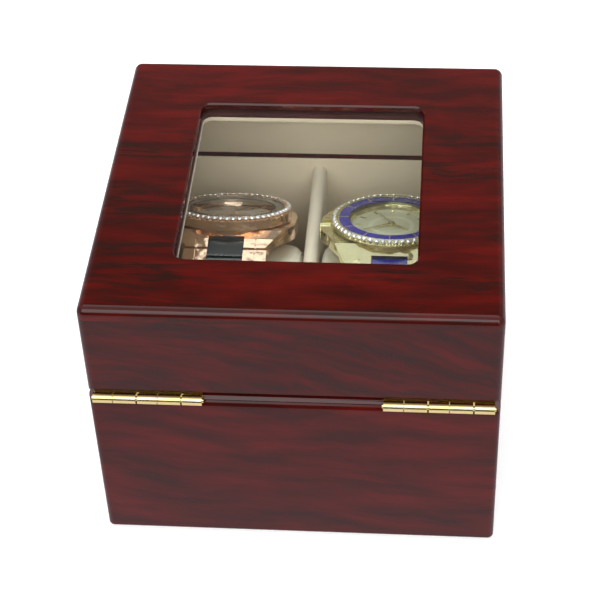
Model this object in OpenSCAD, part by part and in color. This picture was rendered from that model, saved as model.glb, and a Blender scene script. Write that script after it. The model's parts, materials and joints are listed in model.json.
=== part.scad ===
// Lacquered wooden display box for two wrist watches: a lined base with two compartments, a hinged
// lid with a glass window, two cushions, and a bracelet watch held round each cushion.
// Millimetres, +Z up, hinges at +Y, origin at the middle of the underside.

/* [Box] */
// Outside width, side to side
box_w = 130; // [126:1:170]
// Outside depth, front to rear
box_d = 131; // [128:1:170]
// Outside height with the lid closed
box_h = 100; // [95:1:130]
// Height of the joint between base and lid
parting_z = 63.3; // [61:0.1:70]
// Thickness of the walls
wall_t = 5.5; // [5:0.1:7]
// Thickness of the bottom panel
bottom_t = 5.2; // [3:0.1:7]
// Thickness of the felt under the bottom panel
felt_t = 0.8; // [0.5:0.1:1.5]
// Rounding of the lid's top and upright edges
crown_round = 2.7; // [1.5:0.1:4]
// Rounding of the edges along the joint between base and lid
seam_round = 1; // [0.4:0.1:1.5]
// Rounding of the base's lowest edges
foot_round = 1.2; // [0.4:0.1:1.5]
// Rounding of the base's upright edges
corner_round = 2; // [1.5:0.1:3]
// Leg of the two chamfers that form the groove for the hinges
groove_leg = 2.95; // [2:0.05:3.2]

/* [Window] */
// Width of the window
window_w = 76.3; // [60:0.1:90]
// Depth of the window, front to rear
window_d = 80.8; // [60:0.1:90]
// Corner radius of the window
window_round = 3.5; // [2:0.1:8]
// Chamfer round the window's upper edge
window_chamfer = 0.5; // [0.2:0.1:1]
// Height of the wooden edge above the glass
window_lip = 2.25; // [2:0.05:5]
// Thickness of the glass
glass_t = 2; // [1:0.1:3]
// Width of the rebate that carries the glass
rebate_w = 4; // [2:0.1:6]
// Clearance round the glass in its rebate
glass_play = 0.2; // [0.1:0.05:0.4]

/* [Lining] */
// Thickness of the lined boards on the walls and the floor
lining_t = 1.2; // [0.8:0.1:2]
// Thickness of the lined board that holds the glass in the lid
ceiling_t = 2.8; // [1.5:0.1:4]
// Step of that board inside the window's edge
ceiling_step = 0.2; // [0.1:0.1:2]
// Distance that the wall linings stop short of the joint
lining_stop = 1.2; // [0.3:0.1:1.5]

/* [Divider] */
// Thickness of the divider
divider_t = 4.9; // [3:0.1:5]
// Height of the divider's rounded top above the ground
divider_top = 59.5; // [50:0.1:60]
// Distance of the divider from the middle
divider_x = -0.2; // [-1:0.1:1]

/* [Hinges] */
// Distance of each hinge's middle from the box's middle
hinge_x = 45.8; // [38:0.1:46]
// Length of the first, third and fifth knuckles
outer_knuckle = 6.3; // [5:0.1:6.6]
// Length of the second and fourth knuckles
inner_knuckle = 7.2; // [5:0.1:7.4]
// Gap after the first and the third knuckle
wide_gap = 0.5; // [0.1:0.05:0.6]
// Gap after the second and the fourth knuckle
narrow_gap = 0.2; // [0.1:0.05:0.4]
// Outside diameter of the knuckles
barrel_d = 3.4; // [3:0.1:3.8]
// Distance of the hinge axis behind the rear wall
axis_out = 0.8; // [0.2:0.1:1.2]
// Diameter of the hinge pin
pin_d = 1.5; // [1:0.1:1.8]
// Length of the pin that shows past the end knuckles
pin_tip = 0.4; // [0.2:0.1:0.6]
// Thickness of the leaves
leaf_t = 0.8; // [0.5:0.1:1]
// Number of screws in each leaf
screw_count = 3; // [2:1:4]
// Shank diameter of the screws
screw_d = 1.2; // [0.8:0.1:1.4]
// Head diameter of the screws
screw_head_d = 2; // [1.8:0.1:2.2]
// Length of the screws
screw_l = 6; // [4:0.5:10]

/* [Cushions] */
// Width of the cushions, along the hinges
cushion_w = 50; // [40:1:51]
// Length of the cushions, round which the bracelets run
cushion_l = 67; // [62:1:68]
// Height of the cushions
cushion_h = 48; // [46:0.5:50]
// Radius of the cushions' two round ends
cushion_round = 18; // [14:0.5:19]
// Clearance round a cushion
cushion_gap = 0.3; // [0.2:0.1:0.5]

/* [Bracelets] */
// Width of the bracelets
bracelet_w = 28; // [24:0.5:30]
// Width of the middle links
centre_w = 12; // [9:0.5:14]
// Thickness of the links
link_t = 2.8; // [2.2:0.1:3]
// Number of link rows between the watch and the clasp
link_rows = 8; // [6:1:9]
// Gap between the ends of neighbouring links
link_gap = 0.4; // [0.3:0.1:0.8]
// Rounding of the links' edges
link_round = 0.7; // [0.3:0.1:1]
// Sideways gap between middle links and side links
link_side_gap = 0.1; // [0.05:0.05:0.3]
// Width and depth of the groove along the side links
link_groove = 0.5; // [0.2:0.1:0.8]
// Diameter of the link pins
link_pin_d = 1; // [0.7:0.1:1.2]
// Length of the clasp
clasp_l = 40; // [34:1:44]
// Slack of the bracelet at the cushion's ends
loop_slack = 2.6; // [2.4:0.1:4]
// Radius of the bracelet's turn at the cushion's ends
loop_round = 24.2; // [22:0.1:24.8]
// Height of the bracelet's free curve over the case back
loop_rise = 8.7; // [8:0.1:9.5]

/* [Watches] */
// Diameter of the round middle of the case
case_d = 37; // [36:0.5:38]
// Thickness of the case back
back_t = 1.2; // [0.8:0.1:1.6]
// Diameter of the hollow in the case
case_bore = 30.4; // [29.8:0.1:31]
// Half width of the case's flat ends at three and nine o'clock
shoulder_reach = 22; // [21:0.1:22.4]
// Reach of the two crown guards
guard_reach = 24; // [22.6:0.1:24.2]
// Length of the guards' flat ends
guard_end = 2.1; // [1:0.1:3]
// Distance of the guards' roots from the crown's axis
guard_root = 10; // [8:0.1:12]
// Diameter of the bezel
bezel_d = 40.8; // [40:0.1:41.2]
// Height of the bezel's top above the case back's outer face
bezel_top = 12.6; // [12.4:0.1:13]
// Height of the bezel's lowest, widening edge
bezel_edge = 0.5; // [0.3:0.1:0.7]
// Number of flat facets round the bezel
facet_count = 24; // [16:1:36]
// Diameter of the stones
stone_d = 2; // [1.5:0.05:2.05]
// Height of the stones
stone_h = 0.8; // [0.5:0.1:1.2]
// Number of stones round the bezel
stone_count = 56; // [40:1:58]
// Thickness of the crystal
crystal_t = 3; // [2.4:0.1:3.2]
// Chamfer of the crystal's upper edge
crystal_chamfer = 0.6; // [0.2:0.1:1]
// Reach of the crown's outer face from the middle of the watch
crown_reach = 24.5; // [23.5:0.1:24.6]
// Diameter of the crown
crown_d = 5; // [4:0.1:5]
// Number of grip flutes on the crown
flute_count = 20; // [12:1:24]

/* [Rose watch] */
// Place of the watch across the box
rose_x = 27.3; // [26.6:0.1:30]
// Place of its cushion's middle, front to rear
rose_y = -5.2; // [-10:0.1:5]
// Lean of the watch and its cushion toward the front
rose_tilt = 27; // [10:1:30]
// Diameter of its crystal
rose_crystal_d = 29.4; // [27:0.1:29.6]
// Outside diameter of its coloured bezel ring
rose_ring_d = 35.6; // [34:0.1:36]
// Slope of the stones' seat on its bezel
rose_slope = 20; // [10:1:35]
// Height of its case above the case back
rose_case_h = 7; // [6.6:0.1:8.8]
// Height of the shoulders' underside above the case back's outer face
rose_shoulder_z = 3.2; // [2.4:0.1:3.4]
// Height of the crown's axis above the case back's outer face
rose_crown_z = 5.6; // [4.2:0.1:5.6]

/* [Gold watch] */
// Place of the watch across the box
gold_x = -28; // [-30:0.1:-27.8]
// Place of its cushion's middle, front to rear
gold_y = -6.2; // [-10:0.1:5]
// Lean of the watch and its cushion toward the front
gold_tilt = 16; // [5:1:30]
// Diameter of its crystal
gold_crystal_d = 29; // [27:0.1:29.6]
// Outside diameter of its coloured bezel ring
gold_ring_d = 36; // [34:0.1:36]
// Slope of the stones' seat on its bezel
gold_slope = 35; // [10:1:36]
// Height of its case above the case back
gold_case_h = 8.8; // [7:0.1:8.9]
// Height of the shoulders' underside above the case back's outer face
gold_shoulder_z = 6; // [3:0.1:6.4]
// Height of the crown's axis above the case back's outer face
gold_crown_z = 7.1; // [5:0.1:7.4]

/* [Hidden] */
$fn = 96;

// Overshoot of every cutting shape
over = 1;
// Radial clearance of turning and sliding fits
running = 0.05;
// Flat clearance between neighbouring small parts
small_gap = 0.1;

rosewood = [0.36, 0.07, 0.07];
suede = [0.75, 0.71, 0.62];
cream = [0.90, 0.87, 0.78];
brass = [0.85, 0.70, 0.35];
steel = [0.75, 0.76, 0.78];

// Box
lid_h = box_h - parting_z;
top_t = window_lip + glass_t;
inner_w = box_w - 2 * wall_t;
inner_d = box_d - 2 * wall_t;
lined_w = inner_w - 2 * lining_t;
lined_d = inner_d - 2 * lining_t;
floor_z = felt_t + bottom_t;
lining_floor_z = floor_z + lining_t;
top_under_z = box_h - top_t;
ceiling_z = top_under_z - ceiling_t;

// Hinges
hinge_y = box_d / 2 + axis_out;
knuckles = [outer_knuckle, inner_knuckle, outer_knuckle, inner_knuckle, outer_knuckle];
knuckle_gaps = [wide_gap, narrow_gap, wide_gap, narrow_gap];
hinge_l = 3 * outer_knuckle + 2 * (inner_knuckle + wide_gap + narrow_gap);
leaf_edge_y = box_d / 2 - wall_t + small_gap;
leaf_end_y = hinge_y - barrel_d / 2 - cushion_gap;
screw_y = box_d / 2 - (groove_leg + wall_t) / 2;
screw_pitch = hinge_l / screw_count;

// Bracelet loop: a four-arc oval round each cushion, in the leaning frame of cushion and watch
seat_z = cushion_h / 2 + cushion_gap;
loop_low = seat_z + link_t / 2;
loop_a = cushion_l / 2 + loop_slack + link_t / 2;
loop_b = (seat_z + loop_rise + loop_low) / 2;
loop_z = (seat_z + loop_rise - loop_low) / 2;
loop_r = oval_radius(loop_a, loop_b, loop_round);
loop_turn = oval_turn(loop_a, loop_b, loop_round);
loop_top_arc = loop_r * loop_turn * PI / 180;
loop_end_arc = loop_round * (180 - 2 * loop_turn) * PI / 180;
loop_half = 2 * loop_top_arc + loop_end_arc;
// Arc length from the loop's crest to the ends of the lugs
lug_s = 23.9;
link_pitch = (loop_half - lug_s - clasp_l / 2) / link_rows;
side_w = (bracelet_w - centre_w) / 2 - link_side_gap;
side_x = (centre_w + side_w) / 2 + link_side_gap;

// Watches, the rose one first
ROSE = 0;
GOLD = 1;
watch_x = [rose_x, gold_x];
cushion_y = [rose_y, gold_y];
tilt = [rose_tilt, gold_tilt];
crystal_d = [rose_crystal_d, gold_crystal_d];
ring_d = [rose_ring_d, gold_ring_d];
slope = [rose_slope, gold_slope];
case_h = [rose_case_h, gold_case_h];
shoulder_z = [rose_shoulder_z, gold_shoulder_z];
crown_z = [rose_crown_z, gold_crown_z];
metal = [[0.85, 0.56, 0.45], [0.84, 0.78, 0.42]];
inlay = [[0.07, 0.07, 0.08], [0.16, 0.15, 0.48]];
dial_colour = [[0.52, 0.44, 0.40], [0.66, 0.67, 0.52]];
// Hand angles, clockwise from twelve: hour, minute, second
hand_angles = [[304, 48, 210], [305, 60, 150]];
// Each cushion leans on the divider's face
cushion_x = [divider_x + (divider_t + cushion_w) / 2 + cushion_gap,
             divider_x - (divider_t + cushion_w) / 2 - cushion_gap];
// Clearance of the lowest links above the floor
loop_lift = 0.4;
cushion_z = [for (t = tilt) lining_floor_z + loop_lift + loop_r + link_t / 2
             - (loop_z - loop_b + loop_r) * cos(t)];

// Lugs: where they leave the case's flat top, and the length and height of their end above the loop
lug_flat = 16.2;
lug_end = 3.6;
lug_rise = 0.6;
// How much further the first middle links reach toward the case
lead = 1.5;
// Fullest half width of the case, between its flat ends if it were not cut off
belly = shoulder_reach + 0.6;

// Heights inside a watch, above the case back's outer face
bezel_z = [back_t + rose_case_h, back_t + gold_case_h];
hand_t = 0.25;
hand_step = hand_t + small_gap;
dial_t = 0.4;
marker_t = 0.2;
crystal_proud = 1.4;
crystal_z = bezel_top + crystal_proud - crystal_t;
hands_h = 3 * hand_step;
hour_z = crystal_z - small_gap - hands_h;
dial_z = hour_z - small_gap - marker_t - dial_t;
post_d = 1;
hub_d = 3;
hour_hand_w = 1.5;
minute_hand_w = 1.2;
second_hand_w = 0.5;
second_tail = 3.5;
hub_step = 0.5;
flange_w = 0.8;
ring_t = 0.5;
// Depth of the bezel ring's recess, and width of the land between it and the stones' seat
ring_recess = 0.6;
ring_land = 0.2;
stem_d = 1.2;
stem_in = 10;
stem_grip = 2;
crown_gap = 0.3;
// Bottom of the slot between the guards, and where the crown starts
crown_slot = bezel_d / 2 + 0.2;
crown_in = crown_slot + crown_gap;

// Radius of an oval's long arcs, from its half length, half height and end radius
function oval_radius(a, b, r) = ((a - r) ^ 2 + b ^ 2 - r ^ 2) / (2 * (b - r));

// Angle from the oval's crest to the end of its long arc
function oval_turn(a, b, r) = atan((a - r) / (oval_radius(a, b, r) - b));

// Angle of the loop's outward normal at arc length s from the crest
function loop_angle(s) =
    let (d = abs(s), turn = 180 / PI)
    sign(s) * (d < loop_top_arc ? turn * d / loop_r
               : d < loop_top_arc + loop_end_arc ? loop_turn + turn * (d - loop_top_arc) / loop_round
               : 180 - loop_turn + turn * (d - loop_top_arc - loop_end_arc) / loop_r);

// Point of the loop whose outward normal leans f from the crest
function loop_point(f) =
    abs(f) <= loop_turn
    ? [loop_r * sin(f), loop_z + loop_b + loop_r * (cos(f) - 1)]
    : abs(f) < 180 - loop_turn
    ? [sign(f) * (loop_a - loop_round) + loop_round * sin(f), loop_z + loop_round * cos(f)]
    : [loop_r * sin(f), loop_z - loop_b + loop_r * (cos(f) + 1)];

// Point at arc length s, raised by h along the loop's normal, above the case back
function above_loop(s, h) =
    let (f = loop_angle(s), p = loop_point(f))
    [p[0] + h * sin(f), p[1] + h * cos(f) - seat_z];

// Start of knuckle i along its hinge
function knuckle_x(i) =
    i == 0 ? -hinge_l / 2 : knuckle_x(i - 1) + knuckles[i - 1] + knuckle_gaps[i - 1];

// ---- Shapes that repeat ----

// Rectangle from the origin with a radius at each corner, from the lower left one counterclockwise
module rounded(w, h, r) {
    spots = [[0, 0, 0], [w, 0, 90], [w, h, 180], [0, h, 270]];
    difference() {
        square([w, h]);
        for (i = [0:3])
            if (r[i] > 0)
                translate([spots[i][0], spots[i][1]])
                    rotate(spots[i][2])
                        corner_waste(r[i]);
    }
}

// What a corner of radius r loses
module corner_waste(r) {
    difference() {
        translate([-over, -over])
            square(r + over);
        translate([r, r])
            circle(r);
    }
}

// Centred block with rounded upright edges
module upright_block(w, d, h, r) {
    translate([-w / 2, -d / 2])
        linear_extrude(h)
            rounded(w, d, [r, r, r, r]);
}

// Block between two heights with rounded upright edges that meet the other edges in round corners,
// cut along the rear edge of the joint to form the groove
module box_block(z, h, corner_r, low_r, high_r, groove_at_top) {
    groove_z = groove_at_top ? h : 0;
    into = groove_at_top ? -1 : 1;
    long_w = box_w - 2 * corner_r;
    long_d = box_d - 2 * corner_r;
    translate([0, 0, z])
        difference() {
            union() {
                for (x = [-1, 1], y = [-1, 1])
                    translate([x * long_w / 2, y * long_d / 2, 0])
                        rotate_extrude()
                            rounded(corner_r, h, [0, low_r, high_r, 0]);
                translate([0, long_d / 2])
                    rotate([90, 0, 0])
                        linear_extrude(long_d)
                            translate([-box_w / 2, 0])
                                rounded(box_w, h, [low_r, low_r, high_r, high_r]);
                translate([-long_w / 2, 0])
                    rotate([90, 0, 90])
                        linear_extrude(long_w)
                            translate([-box_d / 2, 0])
                                rounded(box_d, h, [low_r, low_r, high_r, high_r]);
            }
            across(box_w + 2 * over)
                polygon([[box_d / 2 + over, groove_z - into * over],
                         [box_d / 2 + over, groove_z + into * (groove_leg + over)],
                         [box_d / 2 - groove_leg - over, groove_z - into * over]]);
        }
}

module base_block() {
    box_block(0, parting_z, corner_round, foot_round, seam_round, true);
}

module lid_block() {
    box_block(parting_z, lid_h, crown_round, seam_round, crown_round, false);
}

// Wall of one side, mitred at both ends, the front wall at turn 0 and so on counterclockwise
module mitred(turn, z, h) {
    across = turn % 180 == 0 ? box_w : box_d;
    away = turn % 180 == 0 ? box_d : box_w;
    rotate(turn)
        translate([0, 0, z])
            linear_extrude(h)
                polygon([[-across / 2, -away / 2], [across / 2, -away / 2],
                         [across / 2 - wall_t, wall_t - away / 2],
                         [wall_t - across / 2, wall_t - away / 2]]);
}

module base_wall(turn) {
    intersection() {
        base_block();
        mitred(turn, 0, parting_z);
    }
}

module lid_wall(turn) {
    intersection() {
        lid_block();
        mitred(turn, parting_z, top_under_z - parting_z);
    }
}

// Pair of boards on the left and right walls between two heights
module side_boards(z, h) {
    for (side = [0, 1])
        mirror([side, 0, 0])
            translate([lined_w / 2, -inner_d / 2, z])
                cube([lining_t, inner_d, h]);
}

// Pair of boards on the front and rear walls between two heights
module end_boards(z, h) {
    for (side = [0, 1])
        mirror([0, side, 0])
            translate([-lined_w / 2, lined_d / 2, z])
                cube([lined_w, lining_t, h]);
}

module at_hinges() {
    for (side = [-1, 1])
        translate([side * hinge_x, 0, 0])
            children();
}

// Leaf with its knuckles, lying above (up = 1) or below (up = -1) the joint
module hinge_leaf(owned, up) {
    leaf_low = up > 0 ? parting_z : parting_z - leaf_t;
    at_hinges()
        difference() {
            union() {
                translate([-hinge_l / 2, leaf_edge_y, leaf_low])
                    cube([hinge_l, leaf_end_y - leaf_edge_y, leaf_t]);
                for (i = owned)
                    translate([knuckle_x(i), 0, 0]) {
                        translate([0, leaf_end_y - over, leaf_low])
                            cube([knuckles[i], hinge_y - leaf_end_y + over, leaf_t]);
                        translate([0, hinge_y, parting_z])
                            rotate([0, 90, 0])
                                cylinder(h = knuckles[i], d = barrel_d);
                    }
            }
            translate([-hinge_l / 2 - over, hinge_y, parting_z])
                rotate([0, 90, 0])
                    cylinder(h = hinge_l + 2 * over, d = pin_d + 2 * running);
            at_screws(up)
                screw_shape(running);
        }
}

// Places of one leaf's screws, their heads at the joint
module at_screws(up) {
    for (i = [0:screw_count - 1])
        translate([-hinge_l / 2 + (i + 0.5) * screw_pitch, screw_y, parting_z])
            mirror([0, 0, up > 0 ? 1 : 0])
                children();
}

// Countersunk screw standing on its head, grown by a clearance
module screw_shape(grow) {
    head_h = (screw_head_d - screw_d) / 2;
    translate([0, 0, -head_h])
        cylinder(h = head_h, d1 = screw_d + 2 * grow, d2 = screw_head_d + 2 * grow);
    translate([0, 0, -screw_l - grow])
        cylinder(h = screw_l + grow - head_h, d = screw_d + 2 * grow);
}

module hinge_screws(up) {
    at_hinges()
        at_screws(up)
            screw_shape(0);
}

// Recesses in a rear wall for the leaves and their screws
module hinge_recess(up) {
    leaf_low = up > 0 ? parting_z - over : parting_z - leaf_t;
    at_hinges() {
        translate([-hinge_l / 2 - small_gap, box_d / 2 - wall_t - over, leaf_low])
            cube([hinge_l + 2 * small_gap, wall_t + 2 * over, leaf_t + over]);
        at_screws(up)
            screw_shape(running);
    }
}

// Four-arc oval across the cushion
module oval(a, b, r) {
    long_r = oval_radius(a, b, r);
    joint_x = long_r * sin(oval_turn(a, b, r));
    intersection() {
        translate([0, b - long_r])
            circle(long_r);
        translate([0, long_r - b])
            circle(long_r);
        square([2 * joint_x, 3 * b], center = true);
    }
    for (side = [-1, 1])
        translate([side * (a - r), 0])
            circle(r);
}

// Leaning frame of watch i: its cushion's centre, with the watch's middle at x 0
module leaning(i) {
    translate([watch_x[i], cushion_y[i], cushion_z[i]])
        rotate([tilt[i], 0, 0])
            children();
}

// Frame of watch i: the case back's outer face, twelve o'clock at +Y and the crown at +X
module on_watch(i) {
    leaning(i)
        translate([0, 0, seat_z])
            children();
}

// Extrudes an outline drawn in depth and height across width w, centred on x
module across(w, x = 0) {
    translate([x - w / 2, 0, 0])
        rotate([90, 0, 90])
            linear_extrude(w)
                children();
}

// Frame on the bracelet's loop at arc length s from its crest
module on_loop(s) {
    f = loop_angle(s);
    p = loop_point(f);
    translate([0, p[0], p[1]])
        rotate([-f, 0, 0])
            children();
}

module link_pin_hole(s) {
    on_loop(s)
        across(bracelet_w + 2 * over)
            circle(d = link_pin_d + 2 * running);
}

// One link of width w, centred on arc length s and on x, reaching further by tail toward the case
module link(w, x, s, grooved, tail = 0) {
    l = link_pitch - link_gap + tail;
    difference() {
        on_loop(s)
            difference() {
                across(w, x)
                    translate([-(l + sign(s) * tail) / 2, -link_t / 2])
                        rounded(l, link_t, [link_round, link_round, link_round, link_round]);
                if (grooved)
                    translate([x - link_groove / 2, -l, link_t / 2 - link_groove])
                        cube([link_groove, 2 * l, link_groove + over]);
            }
        for (side = [-1, 1])
            link_pin_hole(s + side * link_pitch / 4);
    }
}

// ---- Parts of the box ----

module base_front() {
    color(rosewood) base_wall(0);
}

module base_right() {
    color(rosewood)
        difference() {
            base_wall(90);
            hinge_recess(-1);
        }
}

module base_rear() {
    color(rosewood)
        difference() {
            base_wall(180);
            hinge_recess(-1);
        }
}

module base_left() {
    color(rosewood)
        difference() {
            base_wall(270);
            hinge_recess(-1);
        }
}

module base_bottom() {
    color(rosewood)
        translate([-inner_w / 2, -inner_d / 2, felt_t])
            cube([inner_w, inner_d, bottom_t]);
}

module base_felt() {
    color("black")
        translate([-inner_w / 2, -inner_d / 2, 0])
            cube([inner_w, inner_d, felt_t]);
}

module base_floor_lining() {
    color(suede)
        translate([-inner_w / 2, -inner_d / 2, floor_z])
            cube([inner_w, inner_d, lining_t]);
}

module base_side_linings() {
    color(suede) side_boards(lining_floor_z, parting_z - lining_stop - lining_floor_z);
}

module base_end_linings() {
    color(suede) end_boards(lining_floor_z, parting_z - lining_stop - lining_floor_z);
}

module divider() {
    color(suede)
        translate([divider_x, lined_d / 2, 0])
            rotate([90, 0, 0])
                linear_extrude(lined_d) {
                    translate([-divider_t / 2, lining_floor_z])
                        square([divider_t, divider_top - divider_t / 2 - lining_floor_z]);
                    translate([0, divider_top - divider_t / 2])
                        circle(d = divider_t);
                }
}

module lid_top() {
    rebate_round = 1;
    color(rosewood)
        difference() {
            intersection() {
                lid_block();
                translate([-box_w, -box_d, top_under_z])
                    cube([2 * box_w, 2 * box_d, box_h]);
            }
            translate([0, 0, top_under_z - over])
                upright_block(window_w, window_d, top_t + 2 * over, window_round);
            translate([0, 0, top_under_z - over])
                upright_block(window_w + 2 * rebate_w, window_d + 2 * rebate_w, glass_t + over,
                              rebate_round);
            window_edge();
        }
}

// Chamfer round the window's upper edge
module window_edge() {
    c = window_chamfer;
    straight_w = window_w - 2 * window_round;
    straight_d = window_d - 2 * window_round;
    translate([0, 0, box_h - c]) {
        for (x = [-1, 1], y = [-1, 1])
            translate([x * straight_w / 2, y * straight_d / 2, 0])
                cylinder(h = c, r1 = window_round, r2 = window_round + c);
        for (side = [0, 1]) {
            mirror([side, 0, 0])
                translate([window_w / 2, straight_d / 2, 0])
                    rotate([90, 0, 0])
                        linear_extrude(straight_d)
                            polygon([[-over, 0], [0, 0], [c, c], [-over, c]]);
            mirror([0, side, 0])
                translate([-straight_w / 2, window_d / 2, 0])
                    rotate([90, 0, 90])
                        linear_extrude(straight_w)
                            polygon([[-over, 0], [0, 0], [c, c], [-over, c]]);
        }
    }
}

module lid_front() {
    color(rosewood) lid_wall(0);
}

module lid_right() {
    color(rosewood)
        difference() {
            lid_wall(90);
            hinge_recess(1);
        }
}

module lid_rear() {
    color(rosewood)
        difference() {
            lid_wall(180);
            hinge_recess(1);
        }
}

module lid_left() {
    color(rosewood)
        difference() {
            lid_wall(270);
            hinge_recess(1);
        }
}

module lid_side_linings() {
    z = parting_z + lining_stop;
    color(suede) side_boards(z, ceiling_z - z);
}

module lid_end_linings() {
    z = parting_z + lining_stop;
    color(suede) end_boards(z, ceiling_z - z);
}

module lid_ceiling() {
    color(suede)
        difference() {
            translate([-inner_w / 2, -inner_d / 2, ceiling_z])
                cube([inner_w, inner_d, ceiling_t]);
            translate([0, 0, ceiling_z - over])
                upright_block(window_w - 2 * ceiling_step, window_d - 2 * ceiling_step,
                              ceiling_t + 2 * over, window_round - ceiling_step);
        }
}

module glass_pane() {
    w = window_w + 2 * (rebate_w - glass_play);
    d = window_d + 2 * (rebate_w - glass_play);
    color([0.8, 0.9, 0.9, 0.3])
        translate([0, 0, top_under_z])
            upright_block(w, d, glass_t, 1);
}

module base_hinge_leaves() {
    color(brass) hinge_leaf([0, 2, 4], -1);
}

module lid_hinge_leaves() {
    color(brass) hinge_leaf([1, 3], 1);
}

module hinge_pins() {
    color(brass)
        at_hinges()
            translate([-hinge_l / 2 - pin_tip, hinge_y, parting_z])
                rotate([0, 90, 0])
                    cylinder(h = hinge_l + 2 * pin_tip, d = pin_d);
}

module base_hinge_screws() {
    color(brass) hinge_screws(-1);
}

module lid_hinge_screws() {
    color(brass) hinge_screws(1);
}

module cushion(i) {
    color(cream)
        leaning(i)
            across(cushion_w, cushion_x[i] - watch_x[i])
                oval(cushion_l / 2, cushion_h / 2, cushion_round);
}

// ---- Parts of a watch ----

module case_back(i) {
    rim = 1.5;
    color(metal[i])
        on_watch(i)
            cylinder(h = back_t, d = case_d - 2 * rim);
}

// Outline of the shoulders and lugs of one side in reach and height, from the middle of the case
module lug_outline(i) {
    shell = link_t / 2 + small_gap;
    tip_s = lug_s - link_gap / 2;
    top = bezel_z[i] - small_gap;
    polygon([[0, shoulder_z[i]], [0, top], [lug_flat, top],
             above_loop(tip_s - lug_end, shell + lug_rise), above_loop(tip_s, shell),
             above_loop(tip_s, -shell), [case_d / 2, shoulder_z[i]]]);
}

// Groove along a lug, in line with the grooves of the side links
module lug_groove(x) {
    shell = link_t / 2 + small_gap - link_groove;
    tip_s = lug_s - link_gap / 2;
    across(link_groove, x)
        polygon([above_loop(tip_s - lug_end, shell + lug_rise),
                 above_loop(tip_s - lug_end, 2 * link_t), above_loop(tip_s + over, 2 * link_t),
                 above_loop(tip_s + over, shell)]);
}

// Outline of the case seen from above: a barrel with flat ends, and two guards beside the crown
module case_plan() {
    lug_y = above_loop(lug_s, 0)[0];
    taper = belly - bracelet_w / 2;
    barrel_r = (taper ^ 2 + lug_y ^ 2) / (2 * taper);
    slot = crown_d / 2 + crown_gap;
    difference() {
        union() {
            intersection() {
                translate([belly - barrel_r, 0])
                    circle(barrel_r);
                translate([barrel_r - belly, 0])
                    circle(barrel_r);
                square([2 * shoulder_reach, 4 * lug_y], center = true);
            }
            for (side = [0, 1])
                mirror([0, side])
                    polygon([[case_bore / 2, 0], [guard_reach, 0], [guard_reach, slot + guard_end],
                             [shoulder_reach - crown_gap, guard_root], [case_bore / 2, guard_root]]);
        }
        translate([crown_slot, -slot])
            square([guard_reach, 2 * slot]);
    }
}

module case(i) {
    edge = 0.8;
    color(metal[i])
        difference() {
            on_watch(i)
                difference() {
                    union() {
                        translate([0, 0, back_t])
                            cylinder(h = edge, d1 = case_d - 2 * edge, d2 = case_d);
                        translate([0, 0, back_t + edge])
                            cylinder(h = case_h[i] - edge, d = case_d);
                        intersection() {
                            for (turn = [0, 1])
                                mirror([0, turn, 0])
                                    across(2 * guard_reach + over)
                                        lug_outline(i);
                            translate([0, 0, -seat_z])
                                linear_extrude(seat_z + bezel_z[i])
                                    case_plan();
                        }
                    }
                    for (turn = [0, 1], x = [-side_x, side_x])
                        mirror([0, turn, 0])
                            lug_groove(x);
                    translate([0, 0, back_t - over])
                        cylinder(h = case_h[i] + 2 * over, d = case_bore);
                    translate([0, 0, crown_z[i]])
                        rotate([0, 90, 0])
                            cylinder(h = case_d, d = stem_d + 2 * running);
                }
            leaning(i)
                for (turn = [-1, 1]) {
                    link_pin_hole(turn * (lug_s - link_pitch / 4));
                    on_loop(turn * lug_s)
                        translate([-centre_w / 2 - link_side_gap,
                                   -(link_pitch + (1 + turn) * lead) / 2, -3 * link_t])
                            cube([centre_w + 2 * link_side_gap, link_pitch + lead, 6 * link_t]);
                }
        }
}

// Height of the stones' seat at the bezel's rim, above the case back's outer face
function seat_low(i) = bezel_top - (bezel_d / 2 - seat_in(i)) * tan(slope[i]);

// Inner radius of the stones' seat
function seat_in(i) = ring_d[i] / 2 + ring_land;

// Turned bezel: a flange over the dial, a lip under the crystal, a recess for the ring, a sloping
// seat for the stones and a faceted flank
module bezel(i) {
    hole = crystal_d[i] / 2 + running;
    recess = ring_d[i] / 2 + running;
    rim = bezel_d / 2;
    under = dial_z + dial_t + small_gap;
    low = bezel_z[i];
    flat_r = rim * cos(180 / facet_count);
    color(metal[i])
        on_watch(i)
            difference() {
                rotate_extrude()
                    polygon([[case_bore / 2, low], [case_d / 2, low], [rim, low + bezel_edge],
                             [rim, seat_low(i)], [seat_in(i), bezel_top], [recess, bezel_top],
                             [recess, bezel_top - ring_recess], [hole, bezel_top - ring_recess],
                             [hole, crystal_z], [hole - flange_w / 2, crystal_z],
                             [hole - flange_w, under], [case_bore / 2, under]]);
                for (k = [0:facet_count - 1])
                    rotate((k + 0.5) * 360 / facet_count)
                        translate([flat_r, -rim, low - over])
                            cube([rim, 2 * rim, seat_low(i) - 2 * small_gap - low + over]);
            }
}

module bezel_ring(i) {
    hole = crystal_d[i] / 2 + 2 * running;
    color(inlay[i])
        on_watch(i)
            translate([0, 0, bezel_top - ring_recess])
                difference() {
                    cylinder(h = ring_t, d = ring_d[i]);
                    translate([0, 0, -over])
                        cylinder(h = ring_t + 2 * over, r = hole);
                }
}

module stones(i) {
    color("white")
        on_watch(i)
            for (k = [0:stone_count - 1])
                rotate(k * 360 / stone_count)
                    translate([0, (bezel_d / 2 + seat_in(i)) / 2, (seat_low(i) + bezel_top) / 2])
                        rotate([-slope[i], 0, 0])
                            cylinder(h = stone_h, d = stone_d, $fn = 24);
}

module crystal(i) {
    c = crystal_chamfer;
    color([0.85, 0.9, 0.92, 0.3])
        on_watch(i)
            translate([0, 0, crystal_z]) {
                cylinder(h = crystal_t - c, d = crystal_d[i]);
                translate([0, 0, crystal_t - c])
                    cylinder(h = c, d1 = crystal_d[i], d2 = crystal_d[i] - 2 * c);
            }
}

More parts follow.
